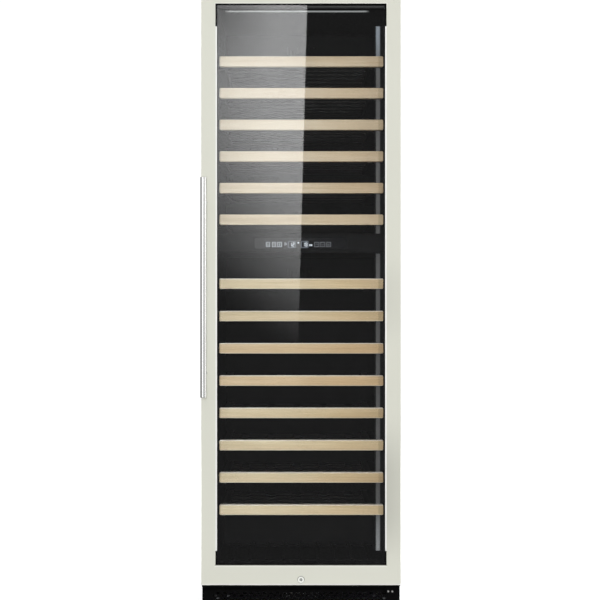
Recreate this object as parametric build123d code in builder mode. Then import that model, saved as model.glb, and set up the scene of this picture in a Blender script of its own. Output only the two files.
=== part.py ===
from build123d import *
import os

os.makedirs("parts", exist_ok=True)

# ---------------------------------------------------------------- driving dimensions (mm)
# Free-standing two-zone wine cooler. +Z is up, the door faces -Y, the door's hinges are on the
# right (+X). The origin is on the floor under the middle of the whole box.
# Depths (d) are measured back from the cabinet's front plane, which stands at y = Y_CAB.
WIDTH = 595.0  # standard appliance width, outside of the steel side panels and of the door
HEIGHT = 1860.0
HALF = WIDTH / 2
Y_CAB = -253.0
DEPTH = 604.0  # cabinet, front plane to rear panel
SHEET = 1.0  # outer steel sheet

BASE_Z = 14.0  # underside of the base pan, over the levelling feet
FOAM_Z = 88.0  # underside of the insulated box, over the air channel
STEP_D, STEP_Z = 380.0, 262.0  # step in the liner over the machine compartment
BAY_D, BAY_Z = 420.0, 222.0  # machine compartment, front and ceiling

LINER_X = 253.0  # half width inside the liner
LINER_T = 2.5
LINER_Z0, LINER_Z1 = 132.0, 1818.0
LINER_D = 545.0  # inside depth

DOOR_Z0, DOOR_Z1 = 78.0, 1852.0
DOOR_FRONT, DOOR_BACK = -50.0, -8.0  # depths of the door's faces
SKIN = 1.2  # painted steel door frame
OPEN_X = 255.1  # half width of the glass opening
OPEN_Z0, OPEN_Z1 = 138.3, 1812.6
GLASS_X, GLASS_Z0, GLASS_Z1 = 265.0, 128.3, 1822.6  # panes
GLASS_T = 4.0
GLASS_D = -47.5  # front face of the outer pane
GAS_GAP = 16.0
SIGHT_X, SIGHT_Z0, SIGHT_Z1 = 250.0, 144.0, 1807.0  # clear opening of the inner door frame

PIVOT_X, PIVOT_D = 286.0, -22.0  # door hinge axis
PIN_R, BUSH_R, RUN = 4.0, 6.0, 0.05  # hinge pin, bush, running clearance

HANDLE_X, HANDLE_D, HANDLE_R = -288.5, -90.0, 9.0
HANDLE_Z0, HANDLE_Z1 = 640.0, 1292.0
POST_Z = (712.5, 1219.5)
LOCK_Z = 95.0

BOARD_LEFT, BOARD_RIGHT, BOARD_H, BOARD_T = -247.0, 249.0, 31.2, 21.0  # beech front board of a shelf
BOARD_D = 15.0  # its front face
SHELF_TOPS = [1665.7 - 95.7 * i for i in range(6)] + [993.4 - 97.7 * i for i in range(8)]
BEAM_LEFT, BEAM_RIGHT = (-243.0, -225.0), (200.0, 218.0)  # shelf side beams
SHELF_END = 480.0
CRADLE_R = 42.0  # hollows in the slats, 4 mm deep
PARTITION_Z0, PARTITION_Z1 = 1072.0, 1128.0

FOOT_X, FOOT_D = 255.0, (50.0, 560.0)
FAN_HALF, FAN_T, FAN_BORE = 60.0, 25.0, 57.0
FANS = {"upper": (0.0, 500.0, 1738.0), "lower": (0.0, 500.0, 1000.0), "condenser": (-120.0, 440.0, 75.5)}
BRACKET_SCREWS = [(263.0, 51.0), (275.0, 51.0), (246.0, 1852.0), (256.0, 1852.0)]
REAR_SCREWS = [(x, z) for x in (-285.0, 0.0, 285.0) for z in (240.0, 1845.0)]
REAR_SCREWS += [(x, z) for x in (-285.0, 285.0) for z in (775.0, 1310.0)]
COVER_SCREWS = [(x, z) for x in (-285.0, 285.0) for z in (30.0, 208.0)]


def at(x, d, z):
    return (x, Y_CAB + d, z)


def block(x0, x1, d0, d1, z0, z1, mode=Mode.ADD):
    """A rectangular block between two corners, in the open builder."""
    with Locations(at((x0 + x1) / 2, (d0 + d1) / 2, (z0 + z1) / 2)):
        Box(x1 - x0, d1 - d0, z1 - z0, mode=mode)


def rod_y(x, z, d0, d1, r, mode=Mode.ADD):
    """A round rod that runs front to back."""
    with Locations(Location(at(x, (d0 + d1) / 2, z), (90, 0, 0))):
        Cylinder(r, d1 - d0, mode=mode)


def rod_z(x, d, z0, z1, r, mode=Mode.ADD):
    """A round upright rod."""
    with Locations(at(x, d, (z0 + z1) / 2)):
        Cylinder(r, z1 - z0, mode=mode)


def rod_x(d, z, x0, x1, r, mode=Mode.ADD):
    """A round rod that runs left to right."""
    with Locations(Location(at((x0 + x1) / 2, d, z), (0, 90, 0))):
        Cylinder(r, x1 - x0, mode=mode)


# ---------------------------------------------------------------- cabinet shell
for side, name in ((-1, "side_panel_left"), (1, "side_panel_right")):
    with BuildPart() as side_panel:
        # upright sheet with a folded flange that the door seal closes on
        block(*sorted((side * HALF, side * (HALF - SHEET))), 0, DEPTH, BASE_Z, HEIGHT)
        block(*sorted((side * (HALF - SHEET), side * (LINER_X + LINER_T))), 0, SHEET, 80, HEIGHT - SHEET)
    side_panel.part.label = name
    export_step(side_panel.part, f"parts/{name}.step")

with BuildPart() as top_panel:
    block(-HALF + SHEET, HALF - SHEET, 0, DEPTH, HEIGHT - SHEET, HEIGHT)
    block(-LINER_X - LINER_T, LINER_X + LINER_T, 0, SHEET, LINER_Z1 + LINER_T, HEIGHT - SHEET)
top_panel.part.label = "top_panel"
export_step(top_panel.part, "parts/top_panel.step")

with BuildPart() as rear_panel:
    block(-HALF, HALF, DEPTH, DEPTH + SHEET, BAY_Z, HEIGHT)
    # pressed stiffening ribs
    for z in (500, 900, 1300, 1700):
        block(-240, 240, DEPTH + SHEET, DEPTH + SHEET + 0.8, z - 9, z + 9)
    for x, z in REAR_SCREWS:
        rod_y(x, z, DEPTH - 1, DEPTH + 2, 2.05, Mode.SUBTRACT)
rear_panel.part.label = "rear_panel"
export_step(rear_panel.part, "parts/rear_panel.step")

with BuildPart() as base_pan:
    block(-HALF + SHEET, HALF - SHEET, 2, DEPTH, BASE_Z, BASE_Z + 1.5)
    for x in (-FOOT_X, FOOT_X):
        for d in FOOT_D:
            rod_z(x, d, BASE_Z, BASE_Z + 18, 9)
    for x in (-FOOT_X, FOOT_X):
        for d in FOOT_D:
            rod_z(x, d, BASE_Z - 1, BASE_Z + 20, 5.0 + RUN, Mode.SUBTRACT)
base_pan.part.label = "base_pan"
export_step(base_pan.part, "parts/base_pan.step")

with BuildPart() as insulation_foam:
    with BuildSketch(Plane.YZ) as foam_side:
        with BuildLine():
            Polyline(
                (Y_CAB + SHEET, FOAM_Z), (Y_CAB + BAY_D, FOAM_Z), (Y_CAB + BAY_D, BAY_Z),
                (Y_CAB + DEPTH, BAY_Z), (Y_CAB + DEPTH, HEIGHT - SHEET), (Y_CAB + SHEET, HEIGHT - SHEET), close=True,
            )
        make_face()
    extrude(amount=HALF - SHEET, both=True)
    with BuildSketch(Plane.YZ) as foam_hollow:
        with BuildLine():
            Polyline(
                (Y_CAB - 5, LINER_Z0 - LINER_T), (Y_CAB + STEP_D + LINER_T, LINER_Z0 - LINER_T),
                (Y_CAB + STEP_D + LINER_T, STEP_Z - LINER_T), (Y_CAB + LINER_D + LINER_T, STEP_Z - LINER_T),
                (Y_CAB + LINER_D + LINER_T, LINER_Z1 + LINER_T), (Y_CAB - 5, LINER_Z1 + LINER_T), close=True,
            )
        make_face()
    extrude(amount=LINER_X + LINER_T, both=True, mode=Mode.SUBTRACT)
    block(-LINER_X - LINER_T, LINER_X + LINER_T, 0, LINER_T, FOAM_Z - 1, LINER_Z0, Mode.SUBTRACT)
insulation_foam.part.label = "insulation_foam"
export_step(insulation_foam.part, "parts/insulation_foam.step")

with BuildPart() as inner_liner:
    with BuildSketch(Plane.YZ) as liner_outside:
        with BuildLine():
            Polyline(
                (Y_CAB, LINER_Z0 - LINER_T), (Y_CAB + STEP_D + LINER_T, LINER_Z0 - LINER_T),
                (Y_CAB + STEP_D + LINER_T, STEP_Z - LINER_T), (Y_CAB + LINER_D + LINER_T, STEP_Z - LINER_T),
                (Y_CAB + LINER_D + LINER_T, LINER_Z1 + LINER_T), (Y_CAB, LINER_Z1 + LINER_T), close=True,
            )
        make_face()
    extrude(amount=LINER_X + LINER_T, both=True)
    with BuildSketch(Plane.YZ) as liner_inside:
        with BuildLine():
            Polyline(
                (Y_CAB - 5, LINER_Z0), (Y_CAB + STEP_D, LINER_Z0), (Y_CAB + STEP_D, STEP_Z),
                (Y_CAB + LINER_D, STEP_Z), (Y_CAB + LINER_D, LINER_Z1), (Y_CAB - 5, LINER_Z1), close=True,
            )
        make_face()
    extrude(amount=LINER_X, both=True, mode=Mode.SUBTRACT)
    # sill under the door opening
    block(-LINER_X - LINER_T, LINER_X + LINER_T, 0, LINER_T, FOAM_Z, LINER_Z0 - LINER_T)
inner_liner.part.label = "inner_liner"
export_step(inner_liner.part, "parts/inner_liner.step")

# ---------------------------------------------------------------- zone partition and controls
with BuildPart() as zone_partition:
    block(-LINER_X, LINER_X, 14, LINER_D, PARTITION_Z0, PARTITION_Z1)
    block(-LINER_X + 3, LINER_X - 3, 17, LINER_D + 1, PARTITION_Z0 + 3, PARTITION_Z1 - 3, Mode.SUBTRACT)
zone_partition.part.label = "zone_partition"
export_step(zone_partition.part, "parts/zone_partition.step")

with BuildPart() as control_fascia:
    block(-140, 140, 10, 14, 1084, 1116)
    fillet(control_fascia.edges().filter_by(Axis.Y), 4)
control_fascia.part.label = "control_fascia"
export_step(control_fascia.part, "parts/control_fascia.step")

# ---------------------------------------------------------------- air ducts, evaporators, fans
for name, z0, z1, fan_z, intake_z in (
    ("duct_cover_upper", 1132.0, 1812.0, FANS["upper"][2], 1175.0),
    ("duct_cover_lower", 266.0, 1068.0, FANS["lower"][2], 310.0),
):
    with BuildPart() as duct_cover:
        block(-236, 236, 497, LINER_D, z0, z1)
        block(-233, 233, 500, LINER_D + 1, z0 + 3, z1 - 3, Mode.SUBTRACT)
        # outlet slots in front of the fan, intake slots at the foot
        with Locations(at(0, 498.5, fan_z)):
            with GridLocations(11, 1, 9, 1):
                Box(5, 8, 72, mode=Mode.SUBTRACT)
        with Locations(at(0, 498.5, intake_z)):
            with GridLocations(24, 1, 15, 1):
                Box(6, 8, 40, mode=Mode.SUBTRACT)
    duct_cover.part.label = name
    export_step(duct_cover.part, f"parts/{name}.step")

with BuildPart() as evaporators:
    for z0, z1 in ((1225.0, 1650.0), (370.0, 900.0)):
        block(-190, 190, 528, 530, z0, z1)
        z = z0 + 12
        while z < z1 - 8:
            block(-186, 186, 512, 528, z, z + 1.2)
            z += 25
        for x in (-180, 170):
            for z in (z0 + 20, z1 - 30):
                block(x, x + 10, 530, LINER_D, z, z + 10)
evaporators.part.label = "evaporators"
export_step(evaporators.part, "parts/evaporators.step")

with BuildPart() as fan_frames:
    for x, d, z in FANS.values():
        block(x - FAN_HALF, x + FAN_HALF, d, d + FAN_T, z - FAN_HALF, z + FAN_HALF)
        rod_y(x, z, d - 1, d + FAN_T + 1, FAN_BORE, Mode.SUBTRACT)
    for x, d, z in FANS.values():
        # motor plate on three struts, with the fan's spindle
        rod_y(x, z, d + FAN_T - 3, d + FAN_T, 20)
        for angle in (30, 150, 270):
            with Locations(Location(at(x, d + FAN_T - 1.5, z), (0, angle, 0)) * Location((39, 0, 0))):
                Box(40, 3, 5)
        rod_y(x, z, d + FAN_T - 12, d + FAN_T - 3, 2.0)
fan_frames.part.label = "fan_frames"
export_step(fan_frames.part, "parts/fan_frames.step")

for key, (x, d, z) in FANS.items():
    with BuildPart() as fan_rotor:
        for k in range(7):
            with Locations(Location(at(x, d + 11.5, z), (0, k * 360 / 7, 0)) * Location((36, 0, 0), (35, 0, 0))):
                Box(38, 2, 26)
        rod_y(x, z, d + 1, d + FAN_T - 1, 55.5, Mode.INTERSECT)
        rod_y(x, z, d + 3, d + FAN_T - 4, 19)
        rod_y(x, z, d + FAN_T - 13, d + FAN_T, 2.0 + RUN, Mode.SUBTRACT)
    name = f"fan_rotor_{key}"
    fan_rotor.part.label = name
    export_step(fan_rotor.part, f"parts/{name}.step")

# ---------------------------------------------------------------- machine compartment
with BuildPart() as compressor:
    rod_z(130, 515, 30, 175, 66)
    fillet(compressor.edges().filter_by(GeomType.CIRCLE).sort_by(Axis.Z)[-1], 22)
    block(50, 210, 440, 590, 27.5, 30)
    for x in (62, 198):
        for d in (452, 578):
            rod_z(x, d, BASE_Z + 1.5, 27.5, 9)
    # suction and discharge stubs
    rod_x(500, 120, 40, 70, 4)
    rod_x(530, 95, 40, 70, 3)
compressor.part.label = "compressor"
export_step(compressor.part, "parts/compressor.step")

with BuildPart() as drip_tray:
    block(75, 185, 460, 570, 175, 195)
    block(77, 183, 462, 568, 177, 196, Mode.SUBTRACT)
drip_tray.part.label = "drip_tray"
export_step(drip_tray.part, "parts/drip_tray.step")

with BuildPart() as condenser_coil:
    for x in (-226.0, 220.0):
        block(x, x + 6, 85, 395, BASE_Z + 1.5, 80)
    for i in range(8):
        rod_x(100 + 40 * i, 52, -221, 221, 3)
    for i in range(15):
        block(-196 + 28 * i, -195 + 28 * i, 90, 390, 32, 72)
condenser_coil.part.label = "condenser_coil"
export_step(condenser_coil.part, "parts/condenser_coil.step")

with BuildPart() as machine_cover:
    block(-HALF, HALF, DEPTH, DEPTH + SHEET, BASE_Z, BAY_Z)
    for z in (70.0, 165.0):
        with Locations(at(40, DEPTH, z)):
            with GridLocations(18, 1, 24, 1):
                Box(5, 8, 60, mode=Mode.SUBTRACT)
    block(-258, -218, DEPTH - 2, DEPTH + 3, 49, 71, Mode.SUBTRACT)
    for x, z in COVER_SCREWS:
        rod_y(x, z, DEPTH - 1, DEPTH + 2, 2.05, Mode.SUBTRACT)
machine_cover.part.label = "machine_cover"
export_step(machine_cover.part, "parts/machine_cover.step")

with BuildPart() as power_inlet:
    # appliance inlet: flange outside the cover, socket behind it, three pins
    block(-264, -212, DEPTH + SHEET, DEPTH + 2, 46, 74)
    block(-258, -218, DEPTH - 22, DEPTH + SHEET, 49, 71)
    block(-254, -222, DEPTH - 18, DEPTH + 3, 52, 68, Mode.SUBTRACT)
    for x in (-247, -238, -229):
        block(x - 1, x + 1, DEPTH - 18, DEPTH - 5, 57, 63)
power_inlet.part.label = "power_inlet"
export_step(power_inlet.part, "parts/power_inlet.step")

with BuildPart() as kick_plate:
    # perforated plinth, with a lip that slopes forward under the door
    block(-293, 293, 0, 2, BASE_Z, 72)
    with BuildSketch(Plane.YZ.offset(-296)) as lip:
        with BuildLine():
            Polyline(
                (Y_CAB + 0, 55.5), (Y_CAB - 38, 73.5), (Y_CAB - 38, 75.5), (Y_CAB + 0, 75.5 - 17.9), close=True,
            )
        make_face()
    extrude(amount=551)
    block(-296, 255, 0, 2, 55.5, 72)
    with BuildSketch(Plane.XZ.offset(-Y_CAB + 5)) as vents:
        for row, z in enumerate((21.5, 29.5, 37.5, 45.5)):
            with Locations((-4 + (5 if row % 2 else -5), z)):
                with GridLocations(20, 1, 26, 1):
                    Polygon((-6.5, 0), (-3.5, 3), (3.5, 3), (6.5, 0), (3.5, -3), (-3.5, -3))
    extrude(amount=-12, mode=Mode.SUBTRACT)
kick_plate.part.label = "kick_plate"
export_step(kick_plate.part, "parts/kick_plate.step")

# ---------------------------------------------------------------- shelf rails, lights, floor rack
with BuildPart() as rail_guides:
    # upright strips on the walls, which steer the shelves' side beams
    for top in SHELF_TOPS:
        z = top - BOARD_H
        block(-LINER_X, BEAM_LEFT[0] - 0.5, 64, SHELF_END, z - 0.4, z + 14)
        block(BEAM_RIGHT[1] + 0.5, LINER_X, 64, SHELF_END, z - 0.4, z + 14)
with BuildPart() as rail_ledges:
    # ledges that the beams slide on
    for top in SHELF_TOPS:
        z = top - BOARD_H
        block(-LINER_X, BEAM_LEFT[0] + 11, 64, SHELF_END, z - 4, z - 0.4)
        block(BEAM_RIGHT[1] - 11, LINER_X, 64, SHELF_END, z - 4, z - 0.4)
shelf_rails = Compound(label="shelf_rails", children=[rail_guides.part, rail_ledges.part])
export_step(shelf_rails, "parts/shelf_rails.step")

with BuildPart() as led_bars:
    block(224, LINER_X, 40, 60, PARTITION_Z1 + 0.5, 1762)
    block(224, LINER_X, 40, 60, 165, PARTITION_Z0 - 0.5)
    block(-236, 212, 42, 62, 1803, LINER_Z1)
led_bars.part.label = "led_bars"
export_step(led_bars.part, "parts/led_bars.step")

with BuildPart() as led_diffusers:
    block(227, 241.5, 38, 40, PARTITION_Z1 + 2.5, 1760)
    block(227, 241.5, 38, 40, 167, PARTITION_Z0 - 2.5)
    block(-232, 208, 40, 42, 1803.5, 1810)
led_diffusers.part.label = "led_diffusers"
export_step(led_diffusers.part, "parts/led_diffusers.step")

with BuildPart() as rack_bars:
    for d in (60.0, 335.0):
        block(-230, 230, d, d + 14, LINER_Z0, LINER_Z0 + 4)
with BuildPart() as rack_ridges:
    for i in range(9):
        block(-213 + 52 * i, -203 + 52 * i, 40, 365, LINER_Z0 + 4, LINER_Z0 + 10)
    fillet(rack_ridges.faces().sort_by(Axis.Z)[-9:].edges().filter_by(Axis.Y), 3)
floor_rack = Compound(label="floor_rack", children=[rack_bars.part, rack_ridges.part])
export_step(floor_rack, "parts/floor_rack.step")

# ---------------------------------------------------------------- sliding beech shelves
for i, top in enumerate(SHELF_TOPS):
    z = top - BOARD_H
    with BuildPart() as board:
        block(BOARD_LEFT, BOARD_RIGHT, BOARD_D, BOARD_D + BOARD_T, z, top)
        fillet(board.edges().filter_by(Axis.Y), 4)
        fillet(board.faces().sort_by(Axis.Y)[0].edges(), 1.5)
    with BuildPart() as beams:
        block(*BEAM_LEFT, BOARD_D + BOARD_T, SHELF_END, z, z + 18)
        block(*BEAM_RIGHT, BOARD_D + BOARD_T, SHELF_END, z, z + 18)
    with BuildPart() as slats:
        for d in (62.0, 144.0, 226.0, 308.0, 390.0, 462.0):
            block(BEAM_LEFT[1], BEAM_RIGHT[0], d - 17, d + 17, z, z + 10)
        for k in range(5):
            # shallow cradles across the slats
            x = BEAM_LEFT[1] + 42.5 + 85 * k
            rod_y(x, z + 10 + CRADLE_R - 4, 30, SHELF_END + 10, CRADLE_R, Mode.SUBTRACT)
    name = f"shelf_{i + 1:02d}"
    shelf = Compound(label=name, children=[board.part, beams.part, slats.part])
    export_step(shelf, f"parts/{name}.step")

# ---------------------------------------------------------------- levelling feet
for i, x in enumerate((-FOOT_X, FOOT_X)):
    for j, d in enumerate(FOOT_D):
        with BuildPart() as foot:
            rod_z(x, d, 0, 7, 18)
            fillet(foot.edges().sort_by(Axis.Z)[-1], 3)
            with BuildSketch(Plane.XY.offset(7)) as nut:
                with Locations((x, Y_CAB + d)):
                    RegularPolygon(9, 6)
            extrude(amount=5)
            rod_z(x, d, 7, 34, 5.0)
        name = f"foot_{('front', 'rear')[j]}_{('left', 'right')[i]}"
        foot.part.label = name
        export_step(foot.part, f"parts/{name}.step")

# ---------------------------------------------------------------- hinges
with BuildPart() as hinge_bracket_top:
    block(236, 292, -3, 0, 1844, 1859)
    block(262, 297, -36, 0, 1853.5, 1856.5)
    rod_z(PIVOT_X, PIVOT_D, 1832, 1853.5, PIN_R)
    for x, z in BRACKET_SCREWS[2:]:
        rod_y(x, z, -4, 1, 2.05, Mode.SUBTRACT)
hinge_bracket_top.part.label = "hinge_bracket_top"
export_step(hinge_bracket_top.part, "parts/hinge_bracket_top.step")

with BuildPart() as hinge_bracket_bottom:
    block(257, 292, -3, 0, 38, 76)
    block(257, 297, -36, 0, 73, 76)
    rod_z(PIVOT_X, PIVOT_D, 76, 98, PIN_R)
    for x, z in BRACKET_SCREWS[:2]:
        rod_y(x, z, -4, 1, 2.05, Mode.SUBTRACT)
hinge_bracket_bottom.part.label = "hinge_bracket_bottom"
export_step(hinge_bracket_bottom.part, "parts/hinge_bracket_bottom.step")

with BuildPart() as cabinet_screws:
    for x, z in BRACKET_SCREWS:
        rod_y(x, z, -3, 0, 2.0)
        rod_y(x, z, -5, -3, 4.0)
    for x, z in REAR_SCREWS + COVER_SCREWS:
        rod_y(x, z, DEPTH, DEPTH + SHEET, 2.0)
        rod_y(x, z, DEPTH + SHEET, DEPTH + 2, 4.0)
cabinet_screws.part.label = "cabinet_screws"
export_step(cabinet_screws.part, "parts/cabinet_screws.step")

with BuildPart() as hinge_bushes:
    # flanged plain bushes in the door's top and bottom edges
    rod_z(PIVOT_X, PIVOT_D, 1826, DOOR_Z1, BUSH_R)
    rod_z(PIVOT_X, PIVOT_D, DOOR_Z1, DOOR_Z1 + 1.2, 8)
    rod_z(PIVOT_X, PIVOT_D, DOOR_Z0, 104, BUSH_R)
    rod_z(PIVOT_X, PIVOT_D, DOOR_Z0 - 1.7, DOOR_Z0, 8)
    rod_z(PIVOT_X, PIVOT_D, 1820, 1860, PIN_R + RUN, Mode.SUBTRACT)
    rod_z(PIVOT_X, PIVOT_D, 70, 110, PIN_R + RUN, Mode.SUBTRACT)
hinge_bushes.part.label = "hinge_bushes"
export_step(hinge_bushes.part, "parts/hinge_bushes.step")

# ---------------------------------------------------------------- door
with BuildPart() as door_skin:
    # folded and welded steel frame, open at the back
    block(-HALF, HALF, DOOR_FRONT, -12, DOOR_Z0, DOOR_Z1)
    fillet(door_skin.faces().sort_by(Axis.Y)[0].edges(), 2.0)
    block(-HALF + SKIN, HALF - SKIN, DOOR_FRONT + SKIN, 0, DOOR_Z0 + SKIN, DOOR_Z1 - SKIN, Mode.SUBTRACT)
    block(-OPEN_X - SKIN, OPEN_X + SKIN, DOOR_FRONT + SKIN, GLASS_D, OPEN_Z0 - SKIN, OPEN_Z1 + SKIN)
    block(-OPEN_X, OPEN_X, DOOR_FRONT - 5, 0, OPEN_Z0, OPEN_Z1, Mode.SUBTRACT)
    rod_z(PIVOT_X, PIVOT_D, 1840, 1860, BUSH_R + RUN, Mode.SUBTRACT)
    rod_z(PIVOT_X, PIVOT_D, 70, 90, BUSH_R + RUN, Mode.SUBTRACT)
    rod_y(0, LOCK_Z, -60, -40, 9.0, Mode.SUBTRACT)
    for z in POST_Z:
        rod_y(HANDLE_X, z, -60, -45, 3.0 + RUN, Mode.SUBTRACT)
door_skin.part.label = "door_skin"
export_step(door_skin.part, "parts/door_skin.step")

with BuildPart() as door_inner_frame:
    block(-HALF + SKIN, HALF - SKIN, DOOR_FRONT + SKIN, -12, DOOR_Z0 + SKIN, DOOR_Z1 - SKIN)
    block(-293, 293, -12, DOOR_BACK, DOOR_Z0 + 4.5, DOOR_Z1 - 4.5)
    # rebate for the glass unit, and the clear opening behind it
    block(-GLASS_X - 0.3, GLASS_X + 0.3, -60, GLASS_D + 2 * GLASS_T + GAS_GAP, GLASS_Z0 - 0.3, GLASS_Z1 + 0.3, Mode.SUBTRACT)
    block(-SIGHT_X, SIGHT_X, -60, 0, SIGHT_Z0, SIGHT_Z1, Mode.SUBTRACT)
    rod_z(PIVOT_X, PIVOT_D, 1826, 1860, BUSH_R + RUN, Mode.SUBTRACT)
    rod_z(PIVOT_X, PIVOT_D, 70, 104, BUSH_R + RUN, Mode.SUBTRACT)
    # lock bore and the pocket that its cam turns in
    rod_y(0, LOCK_Z, -60, -20, 9.0, Mode.SUBTRACT)
    block(-14, 46, -22, 0, DOOR_Z0 + 2.5, 119, Mode.SUBTRACT)
    for z in POST_Z:
        rod_y(HANDLE_X, z, -60, -38, 3.0 + RUN, Mode.SUBTRACT)
door_inner_frame.part.label = "door_inner_frame"
export_step(door_inner_frame.part, "parts/door_inner_frame.step")

with BuildPart() as outer_glass:
    block(-GLASS_X, GLASS_X, GLASS_D, GLASS_D + GLASS_T, GLASS_Z0, GLASS_Z1)
outer_glass.part.label = "outer_glass"
export_step(outer_glass.part, "parts/outer_glass.step")

with BuildPart() as inner_glass:
    block(-GLASS_X, GLASS_X, GLASS_D + GLASS_T + GAS_GAP, GLASS_D + 2 * GLASS_T + GAS_GAP, GLASS_Z0, GLASS_Z1)
inner_glass.part.label = "inner_glass"
export_step(inner_glass.part, "parts/inner_glass.step")

with BuildPart() as glass_spacer:
    block(-262, 262, GLASS_D + GLASS_T, GLASS_D + GLASS_T + GAS_GAP, GLASS_Z0 + 3, GLASS_Z1 - 3)
    block(-251, 251, -60, 0, GLASS_Z0 + 14, GLASS_Z1 - 14, Mode.SUBTRACT)
glass_spacer.part.label = "glass_spacer"
export_step(glass_spacer.part, "parts/glass_spacer.step")

with BuildPart() as glazing_trims:
    for x in (-OPEN_X, OPEN_X - 5):
        block(x, x + 5, DOOR_FRONT + 0.2, GLASS_D, 180, 1745)
    fillet(glazing_trims.faces().sort_by(Axis.Y)[:2].edges().filter_by(Axis.X), 1.5)
glazing_trims.part.label = "glazing_trims"
export_step(glazing_trims.part, "parts/glazing_trims.step")

with BuildPart() as door_gasket:
    block(-286, 286, DOOR_BACK, 0, 112, 1842)
    block(-268, 268, -20, 20, 130, 1824, Mode.SUBTRACT)
door_gasket.part.label = "door_gasket"
export_step(door_gasket.part, "parts/door_gasket.step")

with BuildPart() as handle_bar:
    rod_z(HANDLE_X, HANDLE_D, HANDLE_Z0, HANDLE_Z1, HANDLE_R)
    fillet(handle_bar.edges().filter_by(GeomType.CIRCLE), 1.5)
    for z in POST_Z:
        rod_y(HANDLE_X, z, -84.5, -70, 6.0 + RUN, Mode.SUBTRACT)
handle_bar.part.label = "handle_bar"
export_step(handle_bar.part, "parts/handle_bar.step")

with BuildPart() as handle_posts:
    for z in POST_Z:
        rod_y(HANDLE_X, z, -84.5, -53, 6.0)
        rod_y(HANDLE_X, z, -53, DOOR_FRONT, HANDLE_R)
        rod_y(HANDLE_X, z, DOOR_FRONT, -38, 3.0)
handle_posts.part.label = "handle_posts"
export_step(handle_posts.part, "parts/handle_posts.step")

# ---------------------------------------------------------------- lock
with BuildPart() as lock_body:
    rod_y(0, LOCK_Z, DOOR_FRONT - 2, DOOR_FRONT, 11)
    fillet(lock_body.edges().filter_by(GeomType.CIRCLE).sort_by(Axis.Y)[0], 1.2)
    rod_y(0, LOCK_Z, DOOR_FRONT, -22, 8.9)
    rod_y(0, LOCK_Z, -60, 0, 7.0 + RUN, Mode.SUBTRACT)
lock_body.part.label = "lock_body"
export_step(lock_body.part, "parts/lock_body.step")

with BuildPart() as lock_cylinder:
    # barrel with its key slot, and the cam that turns behind the keeper
    rod_y(0, LOCK_Z, DOOR_FRONT - 2.4, -24, 7.0)
    rod_y(0, LOCK_Z, -24, -12, 4.0)
    block(-5, 5, -12, -9.5, LOCK_Z - 5, LOCK_Z + 18)
    block(-0.9, 0.9, -60, -44, LOCK_Z - 4.2, LOCK_Z + 4.2, Mode.SUBTRACT)
lock_cylinder.part.label = "lock_cylinder"
export_step(lock_cylinder.part, "parts/lock_cylinder.step")

with BuildPart() as lock_keeper:
    block(12, 36, -2, 0, 88, 106)
    block(30, 36, -16, -2, 88, 106)
    block(14, 30, -16, -13.5, 88, 106)
lock_keeper.part.label = "lock_keeper"
export_step(lock_keeper.part, "parts/lock_keeper.step")
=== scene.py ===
import math

import bmesh
import bpy
from mathutils import Matrix, Vector


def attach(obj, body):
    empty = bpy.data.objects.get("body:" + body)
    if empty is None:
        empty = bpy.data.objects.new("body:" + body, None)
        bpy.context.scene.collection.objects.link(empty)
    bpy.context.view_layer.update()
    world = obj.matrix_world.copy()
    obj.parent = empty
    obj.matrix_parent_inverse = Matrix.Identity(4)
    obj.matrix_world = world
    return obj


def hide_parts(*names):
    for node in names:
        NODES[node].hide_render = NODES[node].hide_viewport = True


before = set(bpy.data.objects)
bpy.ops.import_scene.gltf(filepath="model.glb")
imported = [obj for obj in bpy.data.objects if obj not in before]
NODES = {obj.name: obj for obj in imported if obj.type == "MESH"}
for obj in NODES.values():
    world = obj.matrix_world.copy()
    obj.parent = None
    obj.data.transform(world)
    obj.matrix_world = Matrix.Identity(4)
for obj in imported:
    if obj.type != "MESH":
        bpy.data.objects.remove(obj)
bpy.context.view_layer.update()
scene = bpy.context.scene

# Depths (d) are in millimetres back from the cabinet's front plane.
Y_CAB = -253.0


def yd(d):
    return (Y_CAB + d) / 1000.0


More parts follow.
